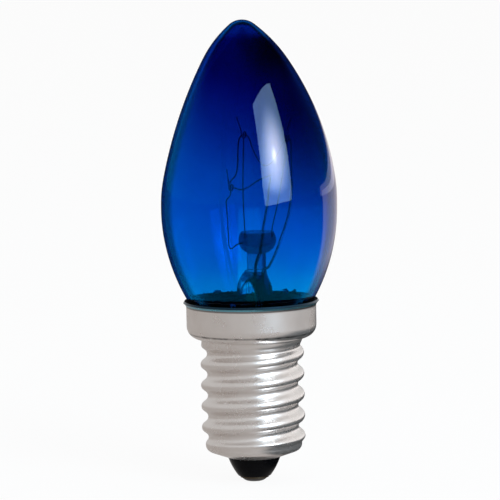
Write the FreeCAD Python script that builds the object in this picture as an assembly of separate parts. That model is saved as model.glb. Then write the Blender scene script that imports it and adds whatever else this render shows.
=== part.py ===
import math
import os
from FreeCAD import Vector
import Part

# Small candle lamp with a clear blown-glass envelope, a wire filament on a glass stem,
# and a rolled screw cap of the 14 mm size with a wide collar.
# Lengths are in millimetres and angles in degrees.
# The origin is the centre of the contact's flat end, and +Z runs up the axis to the tip.

# Fits
SEAT_GAP = 0.02             # between pieces that touch
WIRE_GAP = 0.03             # between a wire and the hole or channel that it lies in
BEND_SHARE = 0.45           # of the shorter run beside a wire's bend, taken up by its arc

# Contact and solder at the bottom end
SOLDER_HEIGHT = 0.5
SOLDER_FLAT_RADIUS = 0.7
SOLDER_RADIUS = 1.72
SOLDER_BULGE = 0.15
CONTACT_RADIUS = 1.9
CONTACT_THICKNESS = 0.25
EYELET_RADIUS = 0.75        # outside of the contact's tube
EYELET_BORE = 0.5
EYELET_LENGTH = 2.2

# Black glass insulator
CONE_HEIGHT = 2.5           # from the contact plate to the cap's floor
CONE_END_RADIUS = 2.2
CONE_BULGE = 0.12           # how far the cone's side bows outwards

# Screw cap, one drawn and rolled piece of sheet
CAP_SHEET = 0.3
CAP_MOUTH_RADIUS = 3.5      # hole in the floor that the insulator fills
FLOOR_SLOPE = 20.0
FLOOR_CORNER = 0.85
BAND_START_RADIUS = 6.44    # plain radius where the thread starts
BAND_LENGTH = 14.18
BAND_END_RADIUS = 6.72      # plain radius where the thread ends
THREAD_PITCH = 2.822
THREAD_CREST_RADIUS = 6.92
THREAD_DEPTH = 0.9
THREAD_FADE_IN = 1.0
THREAD_FADE_OUT = 1.6
FIRST_CREST = 2.435         # height of the first crest above the band's start, at the -X side
THREAD_COLUMNS = 40         # points of the formula round the band
THREAD_ROWS = 14            # and along one pitch
JOIN_TOLERANCE = 0.0001     # between the rolled surface and the turned ones
COLLAR_RADIUS = 8.66
COLLAR_FILLET = 0.25
COLLAR_CORNER = 1.68
COLLAR_HEIGHT = 4.1         # from the collar's underside to the root of its lip
LIP_BEND = 0.8
LIP_ANGLE = 58.0

# Cement between the glass neck and the collar
CEMENT_THICKNESS = 1.36
CEMENT_HEIGHT = 2.6
CEMENT_FOOT = 0.15          # how far the cement starts above the end of the neck

# Blown glass envelope
GLASS_WALL = 0.6
GLASS_LENGTH = 41.65        # from the end of the neck to the tip
GLASS_RADIUS = 11.72
NECK_GAP = 0.4              # between the end of the neck and the inside of the collar
NECK_CURVE = 3.0
MOUTH_GAP = 0.48            # least gap between the glass and the collar at the root of the lip
LIP_GAP = 0.35              # and at the lip's edge
WIDEST_HEIGHT = 16.7        # from the end of the neck to the widest place
WIDEST_BAND = 0.7
BELLY_CURVE = 18.7
BELLY_SWEEP = 9.4
FLANK_SHARE = 2.787         # of the flank's tangent to the shoulder's
NOSE_CURVE = 2.62
NOSE_ANGLE = 51.0           # where the nose's arc starts, from the horizontal

# Glass stem: a flared tube whose top is pressed flat around the wires
FLARE_WALL = 0.5
STEM_RADIUS = 2.42
STEM_OFFSET = 0.5           # the stem stands a little to the +X side
STEM_HEIGHT = 8.2           # from the end of the neck to the top of the press
SKIRT_HEIGHT = 4.7          # the flared part
SKIRT_SECTIONS = [          # shares of the skirt's height, its reach and the stem's offset
    (0.22, 0.48, 0.35),
    (0.55, 0.12, 0.8),
]
CAVITY_TOP_GAP = 0.7        # solid glass above the tip of the hollow
CAVITY_HEIGHT = 2.8
PRESS_HALF_THICKNESS = 1.43
PRESS_HALF_WIDTH = 2.35
PRESS_OFFSET = 0.22         # press centre from the stem's axis
PRESS_TURN = 10.0
PRESS_SECTIONS = [          # depth below the top, half thickness, half width
    (2.24, 2.35, 2.42),
    (0.92, 1.89, 2.47),
]

# Exhaust tube inside the stem
EXHAUST_RADIUS = 1.1
EXHAUST_WALL = 0.35
EXHAUST_LENGTH = 13.5
EXHAUST_TIP_WALL = 0.9      # thick where the end was melted shut

# Glass rod on the press and the button that its end was melted into
ROD_RADIUS = 1.27
ROD_LENGTH = 2.35
ROD_OFFSET = 0.11           # from the press centre
BUTTON_RADIUS = 2.52
BUTTON_TOP_RADIUS = 2.2
BUTTON_HEIGHT = 2.85
BUTTON_OFFSET = 0.17        # from the rod's axis
BUTTON_WAIST = 1.48         # height of its widest place
BUTTON_LOWER_BULGE = 0.3
BUTTON_UPPER_BULGE = 0.12

# Wires
LEAD_RADIUS = 0.16
SEAL_WIRE_RADIUS = 0.2
OUTER_LEAD_RADIUS = 0.1
OUTER_LEAD_DROP = 2.1       # how far the outer wires run straight down from the seal
SIDE_LEAD_BENDS = 4         # of the side wire in the gap beside the neck
LIP_LEAD_STEPS = 3          # of the side wire along the lip
LIP_LEAD_RISE = 0.32        # how high the side wire bends above the lip's inner edge
LIP_LEAD_REACH = 0.4        # and how far outwards its end lies from there
LEAD_FOOT = 0.35            # start of a lead wire, in line with its seal wire
SUPPORT_RADIUS = 0.085
SOCKET_DEPTH = 0.7          # how deep a support wire stands in the button
EYE_RADIUS = 0.4            # of the loop that carries the filament
EYE_SHIFT = 0.28            # sideways step of one turn of that loop
EYE_TURN = 60.0             # how far the loop is turned from the XZ plane
EYE_LEG = 1.0               # height of the loop's centre above the foot of its straight leg
COIL_RADIUS = 0.11          # outside of the filament's fine coil
SEAL_WIRE_SPREAD = 1.5      # of the two wires from the stem's axis, inside the tube
SEAL_WIRE_LENGTH = 4.2
SEAL_WIRE_FRONT = (0.89, -1.55)     # upper ends, from the centre of the press
SEAL_WIRE_BACK = (0.0, 1.69)
EYELET_CLEAR = 1.0          # straight end of the centre wire above the contact's tube

# Side solder on the collar's lip
SIDE_SOLDER_RADIUS = 0.6
SIDE_SOLDER_SHIFT = 0.08    # its centre, outwards from the lip's edge

# Heights that follow from the stack of pieces
CONTACT_Z = SOLDER_HEIGHT
CONE_END_Z = CONTACT_Z + CONTACT_THICKNESS
FLOOR_Z = CONE_END_Z + CONE_HEIGHT
FLOOR_TILT = math.radians(FLOOR_SLOPE)
FLOOR_RUN = BAND_START_RADIUS - FLOOR_CORNER * (1 - math.sin(FLOOR_TILT)) - CAP_MOUTH_RADIUS
BAND_Z = FLOOR_Z + FLOOR_RUN * math.tan(FLOOR_TILT) + FLOOR_CORNER * math.cos(FLOOR_TILT)
BAND_TOP_Z = BAND_Z + BAND_LENGTH
COLLAR_FLOOR_Z = BAND_TOP_Z + COLLAR_FILLET
LIP_Z = COLLAR_FLOOR_Z + COLLAR_HEIGHT
NECK_END_Z = COLLAR_FLOOR_Z + CAP_SHEET + NECK_GAP
NECK_RADIUS = COLLAR_RADIUS - CAP_SHEET - CEMENT_THICKNESS
WIDEST_Z = NECK_END_Z + WIDEST_HEIGHT
TIP_Z = NECK_END_Z + GLASS_LENGTH
PRESS_Z = NECK_END_Z + STEM_HEIGHT
PRESS_X = STEM_OFFSET + PRESS_OFFSET
ROD_X = PRESS_X + ROD_OFFSET
BUTTON_X = ROD_X + BUTTON_OFFSET
BUTTON_Z = PRESS_Z + SEAT_GAP + ROD_LENGTH
BUTTON_TOP = Vector(BUTTON_X, 0, BUTTON_Z + BUTTON_HEIGHT)

UP = Vector(0, 0, 1)


class Outline:
    """A closed outline in the XZ plane, drawn point by point, to be turned about the axis."""

    def __init__(self, r, z):
        self.start = Vector(r, 0, z)
        self.at = self.start
        self.edges = []

    def line(self, r, z):
        end = Vector(r, 0, z)
        if (end - self.at).Length > 1e-6:
            self.edges.append(Part.LineSegment(self.at, end).toShape())
            self.at = end
        return self

    def arc(self, centre, angle_from, angle_to):
        """An arc about a centre (r, z), from the present point, given by its two angles."""
        radius = math.hypot(self.at.x - centre[0], self.at.z - centre[1])
        middle = on_circle(centre, radius, (angle_from + angle_to) / 2)
        end = on_circle(centre, radius, angle_to)
        self.edges.append(Part.Arc(self.at, middle, end).toShape())
        self.at = end
        return self

    def through(self, r1, z1, r2, z2):
        """An arc through one point to another."""
        end = Vector(r2, 0, z2)
        self.edges.append(Part.Arc(self.at, Vector(r1, 0, z1), end).toShape())
        self.at = end
        return self

    def turned(self, x=0.0):
        self.line(self.start.x, self.start.z)
        solid = Part.Face(Part.Wire(self.edges)).revolve(Vector(0, 0, 0), UP, 360)
        solid.translate(Vector(x, 0, 0))
        return solid


def on_circle(centre, radius, angle):
    a = math.radians(angle)
    return Vector(centre[0] + radius * math.cos(a), 0, centre[1] + radius * math.sin(a))


def bowed(start, end, bow):
    """The point beside the middle of a straight line, to its right, that an arc passes through."""
    dr = end[0] - start[0]
    dz = end[1] - start[1]
    length = math.hypot(dr, dz)
    return ((start[0] + end[0]) / 2 + bow * dz / length, (start[1] + end[1]) / 2 - bow * dr / length)


def wire_path(points):
    """Straight runs joined by tangent arcs, each as large as its two runs allow."""
    edges = []
    at = points[0]
    for before, corner, after in zip(points, points[1:], points[2:]):
        back = (before - corner).normalize()
        ahead = (after - corner).normalize()
        half_turn = (math.pi - back.getAngle(ahead)) / 2
        if half_turn < 0.005:
            continue
        tangent = BEND_SHARE * min((before - corner).Length, (after - corner).Length)
        radius = tangent / math.tan(half_turn)
        inward = (back + ahead).normalize()
        middle = corner + inward * (radius / math.cos(half_turn) - radius)
        start = corner + back * tangent
        end = corner + ahead * tangent
        edges.append(Part.LineSegment(at, start).toShape())
        edges.append(Part.Arc(start, middle, end).toShape())
        at = end
    edges.append(Part.LineSegment(at, points[-1]).toShape())
    return Part.Wire(edges)


def wire_along(points, radius):
    """A round wire along a route."""
    path = wire_path(points)
    direction = points[1] - points[0]
    section = Part.Wire(Part.Circle(points[0], direction, radius).toShape())
    return path.makePipeShell([section], True, False)


def rod(start, end, radius):
    axis = end - start
    return Part.makeCylinder(radius, axis.Length, start, axis)


def oval(x, z, half_thickness, half_width, turn):
    """A level oval, wide across Y, turned about the vertical."""
    flat = math.radians(turn)
    long_way = Vector(math.sin(flat), -math.cos(flat), 0)
    short_way = Vector(math.cos(flat), math.sin(flat), 0)
    centre = Vector(x, 0, z)
    if abs(half_width - half_thickness) < 1e-6:
        return Part.Wire(Part.Circle(centre, UP, half_width).toShape())
    if half_width > half_thickness:
        ellipse = Part.Ellipse(centre + long_way * half_width, centre + short_way * half_thickness, centre)
    else:
        ellipse = Part.Ellipse(centre + short_way * half_thickness, centre - long_way * half_width, centre)
    return Part.Wire(ellipse.toShape())


# Glass envelope

def lower_curve():
    """Radius of the arc from the widest place down to the neck, clear of the collar's mouth."""
    lip_r, lip_z = lip_edge(LIP_BEND + CAP_SHEET)
    curves = []
    for radius, z in ((COLLAR_RADIUS - CAP_SHEET - MOUTH_GAP, LIP_Z), (lip_r - LIP_GAP, lip_z)):
        drop = WIDEST_Z - z
        inward = GLASS_RADIUS - radius
        curves.append((drop ** 2 + inward ** 2) / (2 * inward))
    return min(curves)


def neck_centre():
    """Centre (radius, height) of the hollow arc between the neck and the lower curve."""
    low = lower_curve()
    centre_r = NECK_RADIUS + NECK_CURVE
    rise = math.sqrt((low + NECK_CURVE) ** 2 - (centre_r - GLASS_RADIUS + low) ** 2)
    return centre_r, WIDEST_Z - rise


def lower_radius(z):
    """Outer radius of the glass at a height below the widest place."""
    low = lower_curve()
    centre_r, centre_z = neck_centre()
    meet_z = (WIDEST_Z * NECK_CURVE + centre_z * low) / (low + NECK_CURVE)
    if z <= centre_z:
        return NECK_RADIUS
    if z < meet_z:
        return centre_r - math.sqrt(NECK_CURVE ** 2 - (z - centre_z) ** 2)
    return GLASS_RADIUS - low + math.sqrt(low ** 2 - (WIDEST_Z - z) ** 2)


def two_arcs(start, start_angle, end, end_angle, share):
    """Centre and angle where they meet for two arcs that leave one point and reach another
    at right angles to the given normals; share is the ratio of their tangents."""
    first = on_circle((0, 0), 1, start_angle + 90)
    last = on_circle((0, 0), 1, end_angle + 90)
    apart = end - start
    along = apart.dot(first * share + last)
    turn = 2 * share * (1 - first.dot(last))
    tangent = (math.sqrt(along ** 2 + turn * apart.dot(apart)) - along) / turn
    meet = (start + first * share * tangent) * (1 / (1 + share))
    meet += (end - last * tangent) * (share / (1 + share))
    chord = meet - start
    radius = chord.dot(chord) / (-2 * chord.dot(on_circle((0, 0), 1, start_angle)))
    centre = start - on_circle((0, 0), radius, start_angle)
    angle = math.degrees(math.atan2(meet.z - centre.z, meet.x - centre.x))
    chord = end - meet
    radius = chord.dot(chord) / (-2 * chord.dot(on_circle((0, 0), 1, angle)))
    return (centre.x, centre.z), angle, meet - on_circle((0, 0), radius, angle)


def glass_side(inset):
    """The glass from the end of the neck to the tip as an open outline, inset for the inner face."""
    low_centre = (GLASS_RADIUS - lower_curve(), WIDEST_Z)
    neck = neck_centre()
    lean = math.degrees(math.atan2(WIDEST_Z - neck[1], neck[0] - low_centre[0]))

    belly_z = WIDEST_Z + WIDEST_BAND
    belly_centre = (GLASS_RADIUS - BELLY_CURVE, belly_z)
    belly_end = on_circle(belly_centre, BELLY_CURVE, BELLY_SWEEP)
    nose_centre = (0.0, TIP_Z - NOSE_CURVE)
    nose_start = on_circle(nose_centre, NOSE_CURVE, NOSE_ANGLE)
    flank_centre, meet, shoulder = two_arcs(belly_end, BELLY_SWEEP, nose_start, NOSE_ANGLE, FLANK_SHARE)

    outline = Outline(NECK_RADIUS - inset, NECK_END_Z)
    outline.line(NECK_RADIUS - inset, neck[1])
    outline.arc(neck, 180, 180 - lean)
    outline.arc(low_centre, -lean, 0)
    outline.line(GLASS_RADIUS - inset, belly_z)
    outline.arc(belly_centre, 0, BELLY_SWEEP)
    outline.arc(flank_centre, BELLY_SWEEP, meet)
    outline.arc((shoulder.x, shoulder.z), meet, NOSE_ANGLE)
    outline.arc(nose_centre, NOSE_ANGLE, 90)
    return outline


def glass_envelope():
    """The blown wall between an outer and an inner side, open at the end of the neck."""
    outer = glass_side(0.0)
    inner = glass_side(GLASS_WALL)
    ends = [
        Part.LineSegment(outer.at, inner.at).toShape(),
        Part.LineSegment(outer.start, inner.start).toShape(),
    ]
    outline = Part.Wire(Part.__sortEdges__(outer.edges + inner.edges + ends))
    return Part.Face(outline).revolve(Vector(0, 0, 0), UP, 360)


def glass_form(swell):
    """The envelope's outer form as one solid, a little swollen, to cut what fits round it."""
    side = glass_side(-swell)
    side.line(0, side.at.z)
    side.line(0, NECK_END_Z)
    return side.turned()


# Stem

def stem_form(inset, top_sections):
    """The stem from the end of the neck upwards, as a loft through level sections."""
    rim = NECK_RADIUS - GLASS_WALL - SEAT_GAP
    sections = [oval(0, NECK_END_Z, rim - inset, rim - inset, 0)]
    for height, reach, offset in SKIRT_SECTIONS + [(1.0, 0.0, 1.0)]:
        radius = STEM_RADIUS - inset + (rim - STEM_RADIUS) * reach
        sections.append(oval(STEM_OFFSET * offset, NECK_END_Z + SKIRT_HEIGHT * height, radius, radius, 0))
    return Part.makeLoft(sections + top_sections, True, False)


def seal_wire_ends(side):
    """Upper and lower end of the wire sealed in the press; side is -1 in front and 1 behind."""
    shift = SEAL_WIRE_FRONT if side < 0 else SEAL_WIRE_BACK
    top = Vector(PRESS_X + shift[0], shift[1], PRESS_Z)
    outwards = Vector(top.x - STEM_OFFSET, top.y, 0).normalize()
    foot = Vector(STEM_OFFSET, 0, PRESS_Z - SEAL_WIRE_LENGTH) + outwards * SEAL_WIRE_SPREAD
    return top, foot


def cavity_z():
    """Height where the stem's hollow starts to close."""
    return PRESS_Z - CAVITY_TOP_GAP - CAVITY_HEIGHT


def cavity_curve():
    bore = STEM_RADIUS - FLARE_WALL
    return (CAVITY_HEIGHT ** 2 + bore ** 2) / (2 * bore)


def stem_flare():
    tube_z = NECK_END_Z + SKIRT_HEIGHT
    top = [oval(STEM_OFFSET, PRESS_Z - depth, half_thickness, half_width, PRESS_TURN)
           for depth, half_thickness, half_width in PRESS_SECTIONS]
    top.append(oval(PRESS_X, PRESS_Z, PRESS_HALF_THICKNESS, PRESS_HALF_WIDTH, PRESS_TURN))
    stem = stem_form(0.0, top)
    stem = stem.cut(stem_form(FLARE_WALL, []))

    # The hollow of the tube ends in a pointed arch below the press
    bore = STEM_RADIUS - FLARE_WALL
    curve = cavity_curve()
    closing = math.degrees(math.asin(CAVITY_HEIGHT / curve))
    hollow = Outline(0, tube_z)
    hollow.line(bore, tube_z)
    hollow.line(bore, cavity_z())
    hollow.arc((bore - curve, cavity_z()), 0, closing)
    stem = stem.cut(hollow.turned(STEM_OFFSET))

    for side in (-1, 1):
        top_end, foot = seal_wire_ends(side)
        along = (foot - top_end).normalize()
        stem = stem.cut(rod(top_end - along, foot, SEAL_WIRE_RADIUS + WIRE_GAP))
    return stem


def seal_wire(side):
    top, foot = seal_wire_ends(side)
    return rod(top, foot, SEAL_WIRE_RADIUS)


def exhaust_tube():
    """Glass tube that the air was drawn out through, melted shut at its lower end."""
    bore = STEM_RADIUS - FLARE_WALL
    curve = cavity_curve()
    reach = EXHAUST_RADIUS + SEAT_GAP + curve - bore
    top = cavity_z() + math.sqrt(curve ** 2 - reach ** 2) - SEAT_GAP
    tip = top - EXHAUST_LENGTH
    end_z = tip + EXHAUST_RADIUS
    inner = EXHAUST_RADIUS - EXHAUST_WALL
    inner_end_z = end_z + EXHAUST_TIP_WALL - EXHAUST_WALL
    outline = Outline(0, tip)
    outline.arc((0, end_z), -90, 0)
    outline.line(EXHAUST_RADIUS, top)
    outline.line(inner, top)
    outline.line(inner, inner_end_z)
    outline.arc((0, inner_end_z), 0, -90)
    return outline.turned(STEM_OFFSET)


def stem_rod():
    """Glass rod with its button, and sockets for the three support wires."""
    base = Vector(ROD_X, 0, PRESS_Z + SEAT_GAP)
    shaft = Part.makeCylinder(ROD_RADIUS, ROD_LENGTH + BUTTON_HEIGHT / 2, base)
    foot = (ROD_RADIUS - BUTTON_OFFSET, BUTTON_Z)
    waist = (BUTTON_RADIUS, BUTTON_Z + BUTTON_WAIST)
    top = (BUTTON_TOP_RADIUS, BUTTON_Z + BUTTON_HEIGHT)
    button = Outline(0, BUTTON_Z)
    button.line(*foot)
    button.through(*bowed(foot, waist, BUTTON_LOWER_BULGE), *waist)
    button.through(*bowed(waist, top, BUTTON_UPPER_BULGE), *top)
    button.line(0, top[1])
    piece = shaft.fuse(button.turned(BUTTON_X)).removeSplitter()
    for points in SUPPORT_ROUTES.values():
        piece = piece.cut(rod(points[0], points[1], SUPPORT_RADIUS + WIRE_GAP))
    return piece


# Wires inside the glass

def eye_route(centre, tail):
    """One turn of wire round the filament, which comes from below and leaves in a tail."""
    turn = math.radians(EYE_TURN)
    across = Vector(math.cos(turn), math.sin(turn), 0) * EYE_RADIUS
    rise = Vector(0, 0, EYE_RADIUS)
    step = Vector(-math.sin(turn), math.cos(turn), 0) * (EYE_SHIFT / 4)
    return [
        centre - across - Vector(0, 0, EYE_LEG),
        centre - across + rise,
        centre + across + rise + step,
        centre + across - rise + step * 2,
        centre - across - rise + step * 3,
        centre - across + rise + step * 4,
        tail,
    ]


# Eyes and tips, from the middle of the button's top
LEFT_EYE = BUTTON_TOP + Vector(-3.2, 0.2, 5.9)
FRONT_LEFT_EYE = BUTTON_TOP + Vector(-1.35, -2.9, 13.1)
FRONT_RIGHT_EYE = BUTTON_TOP + Vector(4.3, -2.6, 12.5)
BACK_TIP = BUTTON_TOP + Vector(2.0, 3.4, 7.1)
FRONT_TIP = BUTTON_TOP + Vector(4.75, 0.9, 6.9)

# Bends of the wires, most of them from the middle of the button's top
LEAD_BENDS = {
    "front": [
        BUTTON_TOP + Vector(1.36, -1.6, -4.65),
        BUTTON_TOP + Vector(2.3, -1.6, -2.95),
        BUTTON_TOP + Vector(3.3, -1.0, -0.4),
        BUTTON_TOP + Vector(4.25, -0.3, 2.2),
        BUTTON_TOP + Vector(4.75, 0.3, 5.4),
    ],
    "back": [
        BUTTON_TOP + Vector(0.1, 3.0, -3.1),
        BUTTON_TOP + Vector(0.75, 3.1, -0.2),
        BUTTON_TOP + Vector(1.5, 3.2, 3.5),
        BUTTON_TOP + Vector(1.75, 3.4, 5.6),
    ],
}

SUPPORT_ROUTES = {
    "support_wire_left": [
        BUTTON_TOP + Vector(-1.75, 0.3, -1.45),
        BUTTON_TOP + Vector(-2.65, 0.3, -1.6),
        BUTTON_TOP + Vector(-3.75, 0.25, -2.55),
        BUTTON_TOP + Vector(-3.9, 0.2, 1.6),
        BUTTON_TOP + Vector(-4.05, 0.2, 4.3),
    ] + eye_route(LEFT_EYE, BUTTON_TOP + Vector(-3.85, 0.5, 8.3)),
    "support_wire_front_left": [
        BUTTON_TOP + Vector(-1.58, -1.1, -SOCKET_DEPTH),
        BUTTON_TOP + Vector(-1.65, -1.2, 0.6),
        BUTTON_TOP + Vector(-1.8, -2.1, 5.7),
    ] + eye_route(FRONT_LEFT_EYE, BUTTON_TOP + Vector(-2.4, -2.6, 15.5)),
    "support_wire_front_right": [
        BUTTON_TOP + Vector(1.85, -0.5, -SOCKET_DEPTH),
        BUTTON_TOP + Vector(2.0, -0.6, 0.6),
        BUTTON_TOP + Vector(2.85, -1.6, 4.1),
    ] + eye_route(FRONT_RIGHT_EYE, BUTTON_TOP + Vector(4.8, -2.4, 15.3)),
}

FILAMENT_ROUTE = [
    BACK_TIP + Vector(0, 0, 0.05),
    BUTTON_TOP + Vector(0.5, 2.2, 6.8),
    BUTTON_TOP + Vector(-1.05, 1.4, 5.75),
    BUTTON_TOP + Vector(-2.1, 0.9, 5.45),
    LEFT_EYE + Vector(0.35, 0.05, -0.05),
    LEFT_EYE + Vector(-0.35, 0.2, 0.1),
    LEFT_EYE + Vector(-0.3, 0.15, 0.85),
    BUTTON_TOP + Vector(-2.4, -0.4, 7.7),
    BUTTON_TOP + Vector(-2.3, -2.3, 12.2),
    FRONT_LEFT_EYE + Vector(-0.5, 0.1, 0.02),
    FRONT_LEFT_EYE + Vector(0.45, 0.1, 0.0),
    BUTTON_TOP + Vector(-0.4, -2.8, 11.2),
    BUTTON_TOP + Vector(0.4, -2.7, 9.5),
    BUTTON_TOP + Vector(1.4, -2.6, 8.7),
    BUTTON_TOP + Vector(2.7, -2.5, 10.0),
    FRONT_RIGHT_EYE + Vector(-0.45, 0.1, -0.02),
    FRONT_RIGHT_EYE + Vector(0.4, 0.15, 0.0),
    BUTTON_TOP + Vector(4.65, -1.2, 10.4),
    FRONT_TIP + Vector(0, 0, 0.05),
]


def support_wire(name):
    return wire_along(SUPPORT_ROUTES[name], SUPPORT_RADIUS)


def lead_wire(side):
    """Stiff wire from the press up to one end of the filament."""
    top, foot = seal_wire_ends(side)
    along = (top - foot).normalize()
    start = top + along * SEAT_GAP
    bends = LEAD_BENDS["front" if side < 0 else "back"]
    tip = FRONT_TIP if side < 0 else BACK_TIP
    end = tip - Vector(0, 0, COIL_RADIUS + SEAT_GAP)
    return wire_along([start, start + along * LEAD_FOOT] + bends + [end], LEAD_RADIUS)


def filament():
    """The fine coil's outside, as one thin round bar."""
    return wire_along(FILAMENT_ROUTE, COIL_RADIUS)


# Screw cap

def thread_radius(angle, z, inset):
    """Radius of the rolled thread: arcs of one size in turn, faded into the plain band."""
    curve = (THREAD_PITCH ** 2 / 4 + THREAD_DEPTH ** 2) / (4 * THREAD_DEPTH)
    crest_centre = THREAD_CREST_RADIUS - curve
    root_centre = THREAD_CREST_RADIUS - THREAD_DEPTH + curve
    crest_z = BAND_Z + FIRST_CREST + THREAD_PITCH * (angle - 180.0) / 360.0
    turns = (z - crest_z) / THREAD_PITCH
    away = abs(turns - round(turns)) * THREAD_PITCH
    changeover = (curve - inset) * THREAD_PITCH / (4 * curve)
    if away < changeover:
        wave = crest_centre + math.sqrt((curve - inset) ** 2 - away ** 2)
    else:
        wave = root_centre - math.sqrt((curve + inset) ** 2 - (THREAD_PITCH / 2 - away) ** 2)
    start = smooth_step((z - BAND_Z) / THREAD_FADE_IN)
    finish = smooth_step((BAND_TOP_Z - z) / THREAD_FADE_OUT)
    plain = (BAND_START_RADIUS if z < BAND_Z + BAND_LENGTH / 2 else BAND_END_RADIUS) - inset
    return plain + (wave - plain) * start * finish


def smooth_step(t):
    t = min(max(t, 0.0), 1.0)
    return t * t * (3 - 2 * t)


def thread_faces(inset):
    """One wall of the threaded band: a smooth surface that closes on itself, cut in two halves."""
    rows = int(math.ceil(BAND_LENGTH / THREAD_PITCH * THREAD_ROWS))
    step = 360.0 / THREAD_COLUMNS

    # A cubic surface runs inside its poles by this share of their radius
    shrink = (2 + math.cos(math.radians(step))) / 3
    poles = []
    for i in range(THREAD_COLUMNS + 3):
        angle = step * (i - 1)
        direction = Vector(math.cos(math.radians(angle)), math.sin(math.radians(angle)), 0)
        column = []
        for k in range(rows + 1):
            z = BAND_Z + BAND_LENGTH * k / rows
            column.append(direction * (thread_radius(angle % 360, z, inset) / shrink) + Vector(0, 0, z))
        poles.append(column)

    round_knots = list(range(THREAD_COLUMNS + 7))
    height_knots = list(range(rows - 1))
    faces = []
    for half in (0, 1):
        surface = Part.BSplineSurface()
        surface.buildFromPolesMultsKnots(
            poles,
            [1] * len(round_knots),
            [4] + [1] * (rows - 3) + [4],
            round_knots,
            height_knots,
            False,
            False,
            3,
            3,
        )
        first = 3 + half * THREAD_COLUMNS / 2
        surface.segment(first, first + THREAD_COLUMNS / 2, height_knots[0], height_knots[-1])
        faces.append(surface.toShape())
    return faces


def rim_at(walls, z):
    """The closed edge of a wall's faces at one height."""
    edges = [edge for face in walls for edge in face.Edges if abs(edge.BoundBox.ZMin - z) < 1e-3]
    return Part.Wire(Part.__sortEdges__([edge for edge in edges if edge.BoundBox.ZLength < 1e-3]))


def threaded_band():
    """The rolled part of the cap, closed by a flat ring at each end."""
    outer = thread_faces(0.0)
    inner = thread_faces(CAP_SHEET)
    faces = outer + inner
    for z in (BAND_Z, BAND_TOP_Z):
        faces.append(Part.makeFace([rim_at(outer, z), rim_at(inner, z)], "Part::FaceMakerBullseye"))
    skin = Part.Compound(faces)
    skin.sewShape(JOIN_TOLERANCE)
    return Part.Solid(skin.Shells[0])


def floor_corner():
    """Centre (radius, height) of the rounded corner between the floor and the band."""
    return BAND_START_RADIUS - FLOOR_CORNER, BAND_Z


def floor_end(inset):
    """Where the sloping floor, or its inner side at an inset, runs into the corner."""
    return on_circle(floor_corner(), FLOOR_CORNER - inset, FLOOR_SLOPE - 90)


def floor_height(radius, inset):
    """Height of the sloping floor, or of its inner side at an inset, at a radius."""
    end = floor_end(inset)
    return end.z - (end.x - radius) * math.tan(FLOOR_TILT)


def cap_floor():
    """The sloping floor with its hole and its rounded corner."""
    inner_end = floor_end(CAP_SHEET)
    outline = Outline(BAND_START_RADIUS, BAND_Z)
    outline.arc(floor_corner(), 0, FLOOR_SLOPE - 90)
    outline.line(CAP_MOUTH_RADIUS, FLOOR_Z)
    outline.line(CAP_MOUTH_RADIUS, floor_height(CAP_MOUTH_RADIUS, CAP_SHEET))
    outline.line(inner_end.x, inner_end.z)
    outline.arc(floor_corner(), FLOOR_SLOPE - 90, 0)
    return outline.turned()


def cap_collar():
    """The collar with its rounded foot and flared lip."""
    shelf = BAND_END_RADIUS + COLLAR_FILLET
    corner = collar_corner()
    fillet_centre = (shelf, BAND_TOP_Z)
    corner_centre = (COLLAR_RADIUS - corner, COLLAR_FLOOR_Z + corner)
    lip_centre = (COLLAR_RADIUS + LIP_BEND, LIP_Z)
    lip_inner = on_circle(lip_centre, LIP_BEND + CAP_SHEET, 180 - LIP_ANGLE)
    outline = Outline(BAND_END_RADIUS, BAND_TOP_Z)
    outline.arc(fillet_centre, 180, 90)
    outline.line(corner_centre[0], COLLAR_FLOOR_Z)
    outline.arc(corner_centre, -90, 0)
    outline.line(COLLAR_RADIUS, LIP_Z)
    outline.arc(lip_centre, 180, 180 - LIP_ANGLE)
    outline.line(lip_inner.x, lip_inner.z)
    outline.arc(lip_centre, 180 - LIP_ANGLE, 180)
    outline.line(COLLAR_RADIUS - CAP_SHEET, corner_centre[1])
    outline.arc(corner_centre, 0, -90)
    outline.line(shelf, COLLAR_FLOOR_Z + CAP_SHEET)
    outline.arc(fillet_centre, 90, 180)
    return outline.turned()


def collar_corner():
    """The radius of the collar's rounded foot, no larger than its shelf allows."""
    return min(COLLAR_CORNER, COLLAR_RADIUS - BAND_END_RADIUS - COLLAR_FILLET)


def cap_shell():
    whole = cap_floor().fuse([threaded_band(), cap_collar()], JOIN_TOLERANCE)
    return whole.Solids[0]


# Insulator, contact, solder and cement

def insulator():
    """Black glass that fills the cap's mouth, with a bore for the contact's tube."""
    mouth = CAP_MOUTH_RADIUS - SEAT_GAP
    inset = CAP_SHEET + SEAT_GAP
    end = floor_end(inset)
    bore = EYELET_RADIUS + SEAT_GAP
    side = bowed((CONE_END_RADIUS, CONE_END_Z), (CAP_MOUTH_RADIUS, FLOOR_Z - SEAT_GAP), CONE_BULGE)
    outline = Outline(bore, CONE_END_Z)
    outline.line(CONE_END_RADIUS, CONE_END_Z)
    outline.through(*side, CAP_MOUTH_RADIUS, FLOOR_Z - SEAT_GAP)
    outline.line(mouth, FLOOR_Z - SEAT_GAP)
    outline.line(mouth, floor_height(mouth, inset))
    outline.line(end.x, end.z)
    outline.arc(floor_corner(), FLOOR_SLOPE - 90, 0)
    outline.line(bore, BAND_Z)
    return outline.turned()


def contact_plate():
    """Brass plate with a short tube that is held in the insulator."""
    plate_top = CONE_END_Z - SEAT_GAP
    outline = Outline(EYELET_BORE, CONTACT_Z)
    outline.line(CONTACT_RADIUS, CONTACT_Z)
    outline.line(CONTACT_RADIUS, plate_top)
    outline.line(EYELET_RADIUS, plate_top)
    outline.line(EYELET_RADIUS, plate_top + EYELET_LENGTH)
    outline.line(EYELET_BORE, plate_top + EYELET_LENGTH)
    return outline.turned()


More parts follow.
